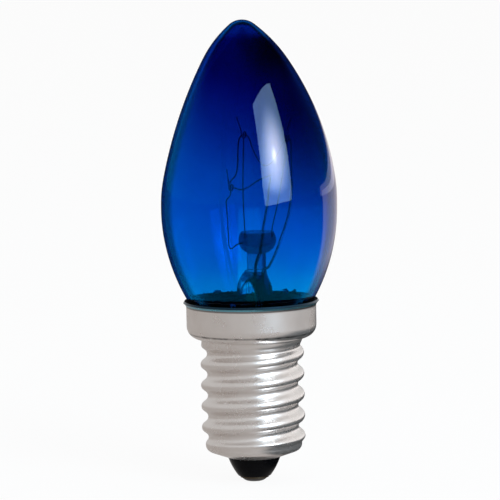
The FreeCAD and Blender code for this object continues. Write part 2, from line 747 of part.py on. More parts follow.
def centre_solder():
    """Low dome of solder with a flat end, whose plug fills the mouth of the contact's tube."""
    plate = CONTACT_Z - SEAT_GAP
    plug = EYELET_BORE - SEAT_GAP
    outline = Outline(0, 0)
    outline.line(SOLDER_FLAT_RADIUS, 0)
    side = bowed((SOLDER_FLAT_RADIUS, 0), (SOLDER_RADIUS, plate), SOLDER_BULGE)
    outline.through(*side, SOLDER_RADIUS, plate)
    outline.line(plug, plate)
    outline.line(plug, plate + CONTACT_THICKNESS)
    outline.line(0, plate + CONTACT_THICKNESS)
    return outline.turned()


# Bends of the wire to the contact, from the middle of the cap's floor
CONTACT_LEAD_BENDS = [
    Vector(1.25, -1.22, 11.0),
    Vector(0.3, -1.0, 6.0),
]

# Bends of the wire to the lip below the neck, from the end of the neck at the +Y side
LIP_LEAD_BENDS = [
    Vector(0.4, -3.85, -0.6),
    Vector(0, 0.25, -0.2),
]


def lip_edge(radius):
    """A place on the lip's end (radius, height), at a radius about the centre of its bend."""
    edge = on_circle((COLLAR_RADIUS + LIP_BEND, LIP_Z), radius, 180 - LIP_ANGLE)
    return edge.x, edge.z


def gap_middle(z):
    """Radius midway between the glass and the inside of the collar or its lip at a height."""
    over = max(z - LIP_Z, 0.0)
    bend_centre = COLLAR_RADIUS + LIP_BEND
    wall = bend_centre - math.sqrt((LIP_BEND + CAP_SHEET) ** 2 - over ** 2)
    return (wall + lower_radius(z)) / 2


def outer_lead_routes():
    """Wires below the seal: to the contact in front, and over the collar's lip behind."""
    feet = [seal_wire_ends(side)[1] - UP * SEAT_GAP for side in (-1, 1)]
    to_contact = [feet[0], feet[0] - UP * OUTER_LEAD_DROP]
    to_contact += [Vector(0, 0, FLOOR_Z) + bend for bend in CONTACT_LEAD_BENDS]
    to_contact.append(Vector(0, 0, CONE_END_Z + EYELET_LENGTH + EYELET_CLEAR))
    to_contact.append(Vector(0, 0, CONE_END_Z))

    to_lip = [feet[1], feet[1] - UP * OUTER_LEAD_DROP]
    to_lip += [Vector(0, NECK_RADIUS, NECK_END_Z) + bend for bend in LIP_LEAD_BENDS]
    lip_y, lip_top = lip_edge(LIP_BEND + CAP_SHEET)
    bottom = NECK_END_Z + CEMENT_FOOT
    heights = [bottom + (LIP_Z - bottom) * k / SIDE_LEAD_BENDS for k in range(SIDE_LEAD_BENDS + 1)]
    for k in range(1, LIP_LEAD_STEPS + 1):
        heights.append(LIP_Z + (lip_top - LIP_Z) * k / LIP_LEAD_STEPS)
    for z in heights:
        to_lip.append(Vector(0, gap_middle(z), z))
    to_lip.append(Vector(0, lip_y + OUTER_LEAD_RADIUS, lip_top + LIP_LEAD_RISE))
    to_lip.append(Vector(0, lip_y + LIP_LEAD_REACH, lip_top))
    return {"outer_lead_contact": to_contact, "outer_lead_collar": to_lip}


def outer_lead(name):
    return wire_along(outer_lead_routes()[name], OUTER_LEAD_RADIUS)


def basing_cement():
    """Ring of cement between the neck and the collar, with a channel for the side wire."""
    bottom = NECK_END_Z + CEMENT_FOOT
    outer = COLLAR_RADIUS - CAP_SHEET - SEAT_GAP
    foot = cap_inner_foot(bottom)
    outline = Outline(0, bottom)
    outline.line(foot, bottom)
    outline.line(outer, COLLAR_FLOOR_Z + collar_corner())
    outline.line(outer, bottom + CEMENT_HEIGHT)
    outline.line(0, bottom + CEMENT_HEIGHT)
    ring = outline.turned().cut(glass_form(SEAT_GAP))
    channel = wire_along(outer_lead_routes()["outer_lead_collar"], OUTER_LEAD_RADIUS + WIRE_GAP)
    return ring.cut(channel)


def cap_inner_foot(z):
    """Radius that stays inside the collar's rounded foot at a height."""
    corner = collar_corner()
    reach = corner - CAP_SHEET - SEAT_GAP
    centre_z = COLLAR_FLOOR_Z + corner
    drop = min(max(centre_z - z, 0.0), reach)
    return COLLAR_RADIUS - corner + math.sqrt(reach ** 2 - drop ** 2)


def side_solder():
    """Drop of solder on the lip, round the end of the side wire."""
    edge_r, edge_z = lip_edge(LIP_BEND)
    blob = Part.makeSphere(SIDE_SOLDER_RADIUS, Vector(0, edge_r + SIDE_SOLDER_SHIFT, edge_z))

    # The collar and its lip, a little swollen, are cut away with all that lies inside them
    below = LIP_Z - 2 * SIDE_SOLDER_RADIUS
    above = LIP_Z + 4 * SIDE_SOLDER_RADIUS
    inner_r, inner_z = lip_edge(LIP_BEND + CAP_SHEET)
    lip = Outline(0, below)
    lip.line(COLLAR_RADIUS + SEAT_GAP, below)
    lip.line(COLLAR_RADIUS + SEAT_GAP, LIP_Z)
    lip.arc((COLLAR_RADIUS + LIP_BEND + SEAT_GAP, LIP_Z), 180, 180 - LIP_ANGLE)
    lip.line(edge_r + 2 * SEAT_GAP, edge_z + SEAT_GAP)
    lip.line(inner_r + SEAT_GAP, inner_z + SEAT_GAP)
    lip.line(inner_r + SEAT_GAP, above)
    lip.line(0, above)
    blob = blob.cut(lip.turned()).cut(glass_form(SEAT_GAP))
    return blob.cut(wire_along(outer_lead_routes()["outer_lead_collar"], OUTER_LEAD_RADIUS + SEAT_GAP))


def all_pieces():
    pieces = {
        "glass_envelope": glass_envelope(),
        "stem_flare": stem_flare(),
        "stem_rod": stem_rod(),
        "exhaust_tube": exhaust_tube(),
        "seal_wire_front": seal_wire(-1),
        "seal_wire_back": seal_wire(1),
        "lead_wire_front": lead_wire(-1),
        "lead_wire_back": lead_wire(1),
        "filament": filament(),
        "cap_shell": cap_shell(),
        "insulator": insulator(),
        "contact_plate": contact_plate(),
        "centre_solder": centre_solder(),
        "side_solder": side_solder(),
        "basing_cement": basing_cement(),
    }
    for name in SUPPORT_ROUTES:
        pieces[name] = support_wire(name)
    for name in outer_lead_routes():
        pieces[name] = outer_lead(name)
    return pieces


def main():
    os.makedirs("parts", exist_ok=True)
    for name, shape in all_pieces().items():
        shape.exportStep("parts/" + name + ".step")
        print(name, "solids", len(shape.Solids), "valid", shape.isValid(), "volume", round(shape.Volume, 3))


main()
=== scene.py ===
import math

import bpy
from mathutils import Matrix, Quaternion, Vector


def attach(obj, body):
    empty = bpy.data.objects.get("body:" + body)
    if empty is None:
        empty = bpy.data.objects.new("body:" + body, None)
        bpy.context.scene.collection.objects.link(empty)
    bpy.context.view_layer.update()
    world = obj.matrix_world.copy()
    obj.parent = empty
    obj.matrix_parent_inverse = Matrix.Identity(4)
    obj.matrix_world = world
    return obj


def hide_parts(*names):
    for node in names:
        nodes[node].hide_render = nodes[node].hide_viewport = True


# A small blue candle lamp on a rolled screw cap, with the origin at the centre of the contact's
# flat end and +Z up the axis of the lamp to the tip of its glass. Sizes of the lamp are in
# millimetres, places in the room are in metres, and angles are in degrees.

MM = 0.001
WHITE = (1.0, 1.0, 1.0)

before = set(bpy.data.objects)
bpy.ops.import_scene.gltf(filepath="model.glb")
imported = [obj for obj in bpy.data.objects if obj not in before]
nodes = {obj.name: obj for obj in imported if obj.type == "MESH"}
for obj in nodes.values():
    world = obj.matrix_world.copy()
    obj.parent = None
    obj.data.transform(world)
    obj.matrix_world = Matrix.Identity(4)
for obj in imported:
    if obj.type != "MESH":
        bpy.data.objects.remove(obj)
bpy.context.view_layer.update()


# Selecting and finishing

CAD_WELD = 0.0005           # corners of a CAD node that lie closer than this are merged
SPIN_WELD = 0.001           # and those of a spun piece
SOFT_EDGE = 30              # edges of a CAD node up to this angle are shaded smooth


def pick_only(thing):
    """Leaves one object selected and active."""
    bpy.ops.object.select_all(action="DESELECT")
    thing.select_set(True)
    bpy.context.view_layer.objects.active = thing


def dress(piece, name, surface, slot, *replaced):
    """Names a finished piece, gives it its material and hands it to the lamp's body."""
    piece.name = name
    piece.data.name = name
    piece.data.materials.clear()
    piece.data.materials.append(surface)
    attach(piece, "root")
    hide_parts(*replaced)


def smooth(piece, angle):
    pick_only(piece)
    bpy.ops.object.shade_smooth_by_angle(angle=math.radians(angle))


def apply_modifiers(piece):
    pick_only(piece)
    for modifier in list(piece.modifiers):
        bpy.ops.object.modifier_apply(modifier=modifier.name)


def smooth_copy(node):
    """A welded and smoothly shaded copy of a CAD node."""
    copy = bpy.data.objects.new(node + "_finish", nodes[node].data.copy())
    bpy.context.scene.collection.objects.link(copy)
    pick_only(copy)
    if copy.data.has_custom_normals:
        bpy.ops.mesh.customdata_custom_splitnormals_clear()
    bpy.ops.object.mode_set(mode="EDIT")
    bpy.ops.mesh.select_all(action="SELECT")
    bpy.ops.mesh.remove_doubles(threshold=CAD_WELD * MM)
    bpy.ops.object.mode_set(mode="OBJECT")
    smooth(copy, SOFT_EDGE)
    return copy


# Turned pieces: an outline of (radius, height) in millimetres, drawn vertex by vertex and spun

def arc(centre, radius, first, last, pieces):
    """Points along an arc, from one angle to another, without its first point."""
    points = []
    for i in range(1, pieces + 1):
        angle = math.radians(first + (last - first) * i / pieces)
        points.append((centre[0] + radius * math.cos(angle), centre[1] + radius * math.sin(angle)))
    return points


def run(start, end, pieces):
    """Points along a straight run, without its first point."""
    return [
        (start[0] + (end[0] - start[0]) * i / pieces, start[1] + (end[1] - start[1]) * i / pieces)
        for i in range(1, pieces + 1)
    ]


def turned(outline, steps):
    """A piece spun round the axis from an open outline."""
    bpy.ops.object.select_all(action="DESELECT")
    bpy.ops.mesh.primitive_plane_add(size=MM)
    piece = bpy.context.active_object

    # Three corners of the plane go, and the outline grows from the one that is left
    bpy.ops.object.mode_set(mode="EDIT")
    bpy.ops.mesh.select_mode(type="VERT")
    bpy.ops.mesh.select_all(action="DESELECT")
    bpy.ops.object.mode_set(mode="OBJECT")
    for vertex in piece.data.vertices:
        vertex.select = vertex.index != 0
    corner = piece.data.vertices[0].co.copy()
    bpy.ops.object.mode_set(mode="EDIT")
    bpy.ops.mesh.delete(type="VERT")
    bpy.ops.mesh.select_all(action="SELECT")
    here = Vector((outline[0][0], 0, outline[0][1])) * MM
    bpy.ops.transform.translate(value=here - corner)
    for radius, height in outline[1:]:
        there = Vector((radius, 0, height)) * MM
        bpy.ops.mesh.extrude_region_move(TRANSFORM_OT_translate={"value": there - here})
        here = there

    bpy.ops.mesh.select_all(action="SELECT")
    bpy.ops.mesh.spin(steps=steps, angle=2 * math.pi, center=(0, 0, 0), axis=(0, 0, 1))
    bpy.ops.mesh.select_all(action="SELECT")
    bpy.ops.mesh.remove_doubles(threshold=SPIN_WELD * MM)
    bpy.ops.mesh.normals_make_consistent(inside=False)
    bpy.ops.object.mode_set(mode="OBJECT")
    return piece


# Shader maths

class Field:
    """A node's output that can be added, multiplied and so on, each with a Math node of its own."""

    def __init__(self, tree, socket):
        self.tree = tree
        self.socket = socket

    def reckon(self, operation, first, second):
        operands = {0: first, 1: second}
        return Shades(self.tree).node("ShaderNodeMath", {"operation": operation}, operands)

    def __add__(self, other):
        return self.reckon("ADD", self, other)

    def __radd__(self, other):
        return self.reckon("ADD", other, self)

    def __sub__(self, other):
        return self.reckon("SUBTRACT", self, other)

    def __rsub__(self, other):
        return self.reckon("SUBTRACT", other, self)

    def __mul__(self, other):
        return self.reckon("MULTIPLY", self, other)

    def __rmul__(self, other):
        return self.reckon("MULTIPLY", other, self)

    def __truediv__(self, other):
        return self.reckon("DIVIDE", self, other)

    def __pow__(self, other):
        return self.reckon("POWER", self, other)


class Shades:
    """A node tree with one way to add a node."""

    def __init__(self, tree):
        self.tree = tree

    def node(self, kind, settings=None, inputs=None, output=0):
        """Adds a node: its settings first, then its sockets; gives one of its outputs."""
        made = self.tree.nodes.new(kind)
        for key, value in (settings or {}).items():
            if key == "stops":
                self.fill_ramp(made.color_ramp, value)
            else:
                setattr(made, key, value)
        for key, value in (inputs or {}).items():
            self.feed(made.inputs[key], value)
        return Field(self.tree, made.outputs[output]) if made.outputs else None

    def fill_ramp(self, ramp, stops):
        while len(ramp.elements) < len(stops):
            ramp.elements.new(1.0)
        for element, (place, colour) in zip(ramp.elements, stops):
            element.position = place
            element.color = (*colour, 1.0)

    def feed(self, socket, value):
        if isinstance(value, Field):
            self.tree.links.new(value.socket, socket)
        else:
            socket.default_value = value

    def ramp(self, field, stops):
        return self.node("ShaderNodeValToRGB", {"stops": stops}, {"Fac": field})

    def mix(self, factor, first, second):
        """A colour between two others."""
        inputs = {0: factor}
        for socket, colour in ((6, first), (7, second)):
            inputs[socket] = colour if isinstance(colour, Field) else (*colour, 1.0)
        return self.node("ShaderNodeMix", {"data_type": "RGBA"}, inputs, output=2)

    def window(self, field, low, high):
        """0 below one value, 1 above another, and smooth between them."""
        settings = {"interpolation_type": "SMOOTHSTEP"}
        inputs = {"Value": field, "From Min": low, "From Max": high}
        return self.node("ShaderNodeMapRange", settings, inputs)

    def band(self, field, rise, fall):
        """1 in a band and 0 on both sides of it, with a stretch of rise and one of fall."""
        return self.window(field, *rise) * (1 - self.window(field, *fall))

    def noise(self, scale, detail=4.0, roughness=0.5, vector=None):
        inputs = {"Scale": scale, "Detail": detail, "Roughness": roughness}
        inputs["Vector"] = vector or self.place()
        return self.node("ShaderNodeTexNoise", None, inputs)

    def split(self, vector, axes):
        """A vector's parts along the axes that are named."""
        return [self.node("ShaderNodeSeparateXYZ", None, {0: vector}, output=axis) for axis in axes]

    def place(self):
        return self.node("ShaderNodeTexCoord", output="Object")

    def across(self):
        """Distance to the right of the axis, in millimetres."""
        return self.split(self.place(), "X")[0] / MM

    def height(self):
        """Height above the contact, in millimetres."""
        return self.split(self.place(), "Z")[0] / MM

    def facing(self):
        """0 where a face looks at the eye, up to 1 where it is seen edge on."""
        return self.node("ShaderNodeLayerWeight", None, {"Blend": 0.5}, output="Facing")

    def outwards(self):
        """How far a face looks away from the axis: 1 straight out, -1 straight in."""
        true_normal = self.node("ShaderNodeNewGeometry", output="True Normal")
        level = {0: self.place(), 1: (1.0, 1.0, 0.0)}
        flat = self.node("ShaderNodeVectorMath", {"operation": "MULTIPLY"}, level)
        away = self.node("ShaderNodeVectorMath", {"operation": "NORMALIZE"}, {0: flat})
        pair = {0: true_normal, 1: away}
        return self.node("ShaderNodeVectorMath", {"operation": "DOT_PRODUCT"}, pair, output="Value")

    def around(self, along, turn_scale, height_scale):
        """A place on a circle round the axis, whatever its radius, at a stretched height."""
        x, y = self.split(self.place(), "XY")
        angle = self.node("ShaderNodeMath", {"operation": "ARCTAN2"}, {0: y, 1: x})
        right = self.node("ShaderNodeMath", {"operation": "COSINE"}, {0: angle}) * turn_scale
        back = self.node("ShaderNodeMath", {"operation": "SINE"}, {0: angle}) * turn_scale
        parts = {"X": right, "Y": back, "Z": along * height_scale}
        return self.node("ShaderNodeCombineXYZ", None, parts)

    def glow(self, colour, strength=1.0):
        """A shader that gives light of its own."""
        return self.node("ShaderNodeEmission", None, {"Color": colour, "Strength": strength})

    def blend(self, factor, first, second):
        """A shader between two others."""
        return self.node("ShaderNodeMixShader", None, {0: factor, 1: first, 2: second})


class Finish(Shades):
    """A material whose principled shader is set by numbers and fields."""

    def __init__(self, name):
        self.material = bpy.data.materials.new(name)
        self.material.use_nodes = True
        super().__init__(self.material.node_tree)
        self.shader = self.tree.nodes["Principled BSDF"]

    def set(self, **sockets):
        for name, value in sockets.items():
            name = name.replace("_", " ")
            if isinstance(value, tuple) and len(value) == 3 and "Color" in name:
                value = (*value, 1.0)
            self.feed(self.shader.inputs[name], value)

    def bump(self, height, depth):
        """Relief of a depth in millimetres."""
        inputs = {"Strength": 1.0, "Distance": depth * MM, "Height": height}
        self.set(Normal=self.node("ShaderNodeBump", None, inputs))


# Blue glass. A pair is a stretch, in millimetres, over which the stain or the painted shade changes

STAIN_FOOT = 20.0           # height where the stain starts
STAIN_LENGTH = 42.0
STAIN = [                   # shares of that length, and the colour there
    (0.02, (0.003, 0.60, 0.96)),
    (0.16, (0.003, 0.56, 0.93)),
    (0.22, (0.003, 0.42, 0.875)),
    (0.29, (0.002, 0.355, 0.825)),
    (0.35, (0.002, 0.305, 0.78)),
    (0.48, (0.001, 0.238, 0.68)),
    (0.61, (0.001, 0.148, 0.54)),
    (0.73, (0.001, 0.065, 0.41)),
    (0.80, (0.001, 0.027, 0.31)),
    (0.88, (0.001, 0.024, 0.29)),
    (0.97, (0.001, 0.035, 0.33)),
]
RIGHT_SHADE_SLANT = 0.42          # painted shade: how much further up the stain it is read for each millimetre to the right, so the right is darker
SLANT_HEIGHTS = (26.0, 38.0)
STAIN_CLOUD = 3.0           # how far up and down the stain is cloudy
# Painted shade on the right, and darker painted shade on the upper right
RIGHT_SIDE = (-1.0, 9.0)
RIGHT_HEIGHTS = (34.0, 52.0)
TOP_RIGHT_SIDE = (-2.5, 3.5)
TOP_RIGHT_HEIGHTS = (52.5, 57.5)
TIP_HEIGHTS = (58.9, 60.2)
NECK_HEIGHTS = (24.3, 24.45)
NECK_SMEAR = 2.4            # how far the dark of the neck reaches up in smears
GRAZING = (0.56, 0.72)      # how far from face on


def blue_glass():
    """Clear glass, stained blue: pale at the foot and dark under the tip, with painted shade on the
    right and darker painted shade on the upper right.
    """
    finish = Finish("blue_glass")
    across = finish.across()
    height = finish.height()
    cloud = finish.noise(120.0, 3.0)
    # Painted shade: the stain is read further up towards the right, so the right is darker
    slant = across * finish.window(height, *SLANT_HEIGHTS) * RIGHT_SHADE_SLANT
    level = (height + slant + (cloud - 0.5) * STAIN_CLOUD - STAIN_FOOT) / STAIN_LENGTH
    stain_and_shade = finish.ramp(level, STAIN)
    # Painted shade on the right, and darker painted shade on the upper right
    right = finish.window(across, *RIGHT_SIDE) * finish.window(height, *RIGHT_HEIGHTS)
    stain_and_shade = finish.mix(right * 0.75, stain_and_shade, (0.001, 0.014, 0.12))
    top_right = finish.window(across, *TOP_RIGHT_SIDE) * finish.window(height, *TOP_RIGHT_HEIGHTS)
    stain_and_shade = finish.mix(top_right * 0.85, stain_and_shade, (0.001, 0.002, 0.035))
    stain_and_shade = finish.mix(finish.window(height, *TIP_HEIGHTS), stain_and_shade, (0.001, 0.095, 0.43))
    smears = (finish.noise(900.0, 3.0) - 0.5) * NECK_SMEAR
    above_neck = finish.window(height + smears, *NECK_HEIGHTS)
    stain_and_shade = finish.mix(above_neck, (0.0005, 0.0015, 0.012), stain_and_shade)
    grazing = finish.window(finish.facing(), *GRAZING)
    stain_and_shade = finish.mix(grazing, stain_and_shade, (0.001, 0.008, 0.06))
    finish.set(Base_Color=stain_and_shade, Roughness=0.0, IOR=1.55, Transmission_Weight=1.0)
    return finish.material


# Glass of the stem, with stretches in millimetres

# Painted shade on the rod's right side
ROD_SHADE_SIDE = (1.45, 1.7)
PRESS_TOP = (27.85, 28.05)
ARCH_LEFT = (-1.45, -1.15)
ARCH_RIGHT = (0.9, 1.4)     # at the arch's foot
ARCH_FOOT = 24.5
ARCH_TAPER = 0.45           # how much the right side comes in for each millimetre up
ARCH_TOP = (26.8, 27.2)
BUTTON_FOOT = (30.3, 30.9)
STEM_EDGE = (0.40, 0.80)    # how far from face on
STEM_IOR = 1.10             # low, or the rod shows a dark hook


def clear_glass():
    """Clear glass, dark where it was pressed on the wires and mottled dark where it was melted into
    the button, with painted shade on the rod's right side.
    """
    finish = Finish("clear_glass")
    height = finish.height()
    across = finish.across()
    mottle = finish.window(finish.noise(800.0, 3.0), 0.35, 0.65)

    # The rod, clear, with painted shade on its right side
    shade = finish.window(across, *ROD_SHADE_SIDE)
    colour = finish.mix(shade, (0.45, 0.62, 0.66), (0.04, 0.09, 0.15))

    # The press, dark round an arch that stays clear
    arch = finish.window(across, *ARCH_LEFT) * (1 - finish.window(height, *ARCH_TOP))
    arch = arch * (1 - finish.window(across + (height - ARCH_FOOT) * ARCH_TAPER, *ARCH_RIGHT))
    press = 1 - finish.window(height, *PRESS_TOP)
    colour = finish.mix(press, colour, finish.mix(arch, (0.02, 0.05, 0.10), (0.86, 0.94, 0.95)))

    # The button, mottled
    button = finish.window(height, *BUTTON_FOOT)
    colour = finish.mix(button, colour, finish.mix(mottle, (0.05, 0.10, 0.15), (0.16, 0.24, 0.28)))

    # Darker towards all edges
    edge = finish.window(finish.facing(), *STEM_EDGE)
    colour = finish.mix(edge * 0.8, colour, (0.08, 0.14, 0.20))
    finish.set(Base_Color=colour, Roughness=0.0, IOR=STEM_IOR, Transmission_Weight=1.0)
    return finish.material


def black_glass():
    finish = Finish("black_glass")
    pits = finish.noise(900.0, 5.0)
    black = (0.002, 0.002, 0.0025)
    finish.set(Base_Color=black, Roughness=0.06 + pits * 0.12, Specular_IOR_Level=0.06)
    finish.bump(pits, 0.03)
    return finish.material


# Metal of the cap: the heights, in millimetres, between which a change of colour comes or goes

CREASE_START = (19.94, 20.08)
CREASE_END = (20.16, 20.34)
UNDER_LIP_START = (23.55, 23.65)
UNDER_LIP_END = (23.8, 23.88)
LIP_START = (23.80, 23.86)
LIP_EDGE = (24.06, 24.1)
INWARDS = 0.02              # how far a face looks inwards before it takes painted shade
CAP_METALLIC = 0.88


def cap_metal():
    """Rolled aluminium, satin, with fine marks round it and pits; painted shade with a little dirt
    in the crease, a painted shadow under the lip, a painted reflection of the blue glass on the
    lip, and painted shade at its edge and inside.
    """
    finish = Finish("cap_metal")
    height = finish.height()
    rolled = finish.noise(1.0, 3.0, 0.6, finish.around(height, 2.0, 14.0))
    pits = finish.noise(1400.0, 4.0)
    patches = finish.noise(260.0, 4.0)
    metal = finish.mix(patches, (0.66, 0.60, 0.565), (0.80, 0.755, 0.725))
    # A dark line in the crease: painted shade, speckled with a little dirt
    crease = finish.band(height, CREASE_START, CREASE_END)
    dirt = finish.window(finish.noise(700.0, 4.0), 0.42, 0.62)
    metal = finish.mix(crease * (0.5 + dirt * 0.45), metal, (0.10, 0.09, 0.085))
    # Painted shadow under the lip
    under_lip_shadow = finish.band(height, UNDER_LIP_START, UNDER_LIP_END)
    metal = finish.mix(under_lip_shadow * 0.75, metal, (0.06, 0.06, 0.065))

    # The lip has a painted reflection of the blue glass, and painted shade at its edge and inside
    metal = finish.mix(finish.window(height, *LIP_START), metal, (0.13, 0.38, 0.47))
    # Painted shade at the lip's edge, and inside the cap where faces look inwards
    metal = finish.mix(finish.window(height, *LIP_EDGE), metal, (0.008, 0.03, 0.05))
    inner_side = finish.window(-INWARDS - finish.outwards(), 0.0, 0.1)
    metal = finish.mix(inner_side, metal, (0.004, 0.006, 0.012))
    roughness = 0.23 + patches * 0.10 + inner_side * 0.6
    metallic = CAP_METALLIC - inner_side * CAP_METALLIC
    finish.set(Base_Color=metal, Metallic=metallic, Roughness=roughness)
    finish.bump(rolled * 0.5 + pits * 0.5, 0.012)
    return finish.material


def metal(name, colour, roughness, grain=0.01):
    """A plain metal with fine marks, whose relief is given in millimetres."""
    finish = Finish(name)
    marks = finish.noise(2500.0, 4.0)
    base = finish.mix(marks, tuple(c * 0.8 for c in colour), colour)
    finish.set(Base_Color=base, Metallic=1.0, Roughness=roughness + marks * 0.1)
    finish.bump(marks, grain)
    return finish.material


def cement():
    finish = Finish("basing_cement")
    grain = finish.noise(1800.0, 6.0, 0.7)
    colour = finish.mix(grain, (0.012, 0.010, 0.009), (0.06, 0.052, 0.045))
    finish.set(Base_Color=colour, Roughness=0.9)
    finish.bump(grain, 0.15)
    return finish.material


# Glass

NECK_RADIUS = 7.0
NECK_END = 20.045
NECK_TOP = 21.202           # where the straight neck ends
NECK_CURVE = 3.0            # hollow side outwards, so an inset makes it larger
WIDEST_RADIUS = 11.72
WIDEST_TOP = 37.445
TIP = 61.695
GLASS_WALL = 0.6
BOX_MARGIN = 0.02           # off the outside, so that the leaning glass stays in the solids' box
TURN_STEPS = 160

# Tangent arcs of the outside: centre, radius, first and last angle, and number of pieces
NECK_ARC = ((10.0, NECK_TOP), NECK_CURVE, 180.0, 146.2, 6)
LOWER_ARC = ((-13.233, 36.745), 24.953, -33.8, 0.0, 34)
UPPER_ARCS = [
    ((-6.98, WIDEST_TOP), 18.7, 0.0, 9.4, 8),
    ((-34.076, 32.96), 46.165, 9.4, 30.64, 34),
    ((-9.233, 47.673), 17.292, 30.64, 51.0, 14),
    ((0.0, 59.075), 2.62, 51.0, 90.0, 8),
]

# How the blown glass leans along X: height and shift, at even steps of height
GLASS_LEAN = [
    (19.1, 0.0),
    (25.2, 0.0),
    (31.3, 0.0),
    (37.4, -0.05),
    (43.5, 0.2),
    (49.6, 0.2),
    (55.7, -0.05),
    (61.8, -0.6),
]
CAGE_WIDTH = 30.0
CAGE_CORNERS = 4            # of the lattice at each height


def inset_arc(shape, inset):
    centre, radius, first, last, pieces = shape
    return arc(centre, radius - inset, first, last, pieces)


def envelope_outline(inset):
    """The glass from the end of its neck to the tip, set in from its outside."""
    outline = [(NECK_RADIUS - inset, NECK_END)]
    outline += run(outline[-1], (NECK_RADIUS - inset, NECK_TOP), 3)
    outline += inset_arc(NECK_ARC, -inset)
    outline += inset_arc(LOWER_ARC, inset)
    outline += run(outline[-1], (WIDEST_RADIUS - inset, WIDEST_TOP), 2)
    for shape in UPPER_ARCS:
        outline += inset_arc(shape, inset)
    outline[-1] = (0.0, TIP - inset)
    return outline


def lean(piece, levels):
    """Leans a piece along X by a lattice, by a shift at each height."""
    low, high = levels[0][0] * MM, levels[-1][0] * MM
    bpy.ops.object.select_all(action="DESELECT")
    bpy.ops.object.add(type="LATTICE", location=(0, 0, (low + high) / 2))
    cage = bpy.context.active_object
    cage.scale = (CAGE_WIDTH * MM, CAGE_WIDTH * MM, high - low)
    cage.data.points_w = len(levels)
    for k, (height, shift) in enumerate(levels):
        for point in cage.data.points[k * CAGE_CORNERS:(k + 1) * CAGE_CORNERS]:
            point.co_deform = point.co_deform + Vector((shift * MM / cage.scale.x, 0, 0))
    bpy.context.view_layer.update()
    shear = piece.modifiers.new("lean", "LATTICE")
    shear.object = cage
    apply_modifiers(piece)
    bpy.data.objects.remove(cage)


def make_envelope():
    outside = envelope_outline(BOX_MARGIN)
    inside = envelope_outline(GLASS_WALL)
    wall = turned(outside[::-1] + inside, TURN_STEPS)
    lean(wall, GLASS_LEAN)
    smooth(wall, 40)
    dress(wall, "blue_envelope", blue_glass(), "blue_glass", "glass_envelope")


def make_stem():
    glass = clear_glass()
    for node in ("stem_flare", "stem_rod", "exhaust_tube"):
        dress(smooth_copy(node), node + "_clear", glass, "clear_glass", node)


# The filament's coil, along the route between the leads' tips

BUTTON_TOP = Vector((1.0, 0.0, 33.465))
LEFT_EYE = BUTTON_TOP + Vector((-3.2, 0.2, 5.9))
FRONT_LEFT_EYE = BUTTON_TOP + Vector((-1.35, -2.9, 13.1))
FRONT_RIGHT_EYE = BUTTON_TOP + Vector((4.3, -2.6, 12.5))
BACK_TIP = BUTTON_TOP + Vector((2.0, 3.4, 7.1))
FRONT_TIP = BUTTON_TOP + Vector((4.75, 0.9, 6.9))

COIL_ROUTE = [
    BACK_TIP + Vector((0, 0, 0.05)),
    BUTTON_TOP + Vector((0.5, 2.2, 6.8)),
    BUTTON_TOP + Vector((-1.05, 1.4, 5.75)),
    BUTTON_TOP + Vector((-2.1, 0.9, 5.45)),
    LEFT_EYE + Vector((0.35, 0.05, -0.05)),
    LEFT_EYE + Vector((-0.35, 0.2, 0.1)),
    LEFT_EYE + Vector((-0.3, 0.15, 0.85)),
    BUTTON_TOP + Vector((-2.4, -0.4, 7.7)),
    BUTTON_TOP + Vector((-2.3, -2.3, 12.2)),
    FRONT_LEFT_EYE + Vector((-0.5, 0.1, 0.02)),
    FRONT_LEFT_EYE + Vector((0.45, 0.1, 0.0)),
    BUTTON_TOP + Vector((-0.4, -2.8, 11.2)),
    BUTTON_TOP + Vector((0.4, -2.7, 9.5)),
    BUTTON_TOP + Vector((1.4, -2.6, 8.7)),
    BUTTON_TOP + Vector((2.7, -2.5, 10.0)),
    FRONT_RIGHT_EYE + Vector((-0.45, 0.1, -0.02)),
    FRONT_RIGHT_EYE + Vector((0.4, 0.15, 0.0)),
    BUTTON_TOP + Vector((4.65, -1.2, 10.4)),
    FRONT_TIP + Vector((0, 0, 0.05)),
]
COIL_RADIUS = 0.085         # from the route to the middle of the coil's wire
COIL_WIRE = 0.022           # radius of that wire
COIL_PITCH = 0.085
COIL_STEPS = 9              # in each turn
WIRE_SIDES = 6


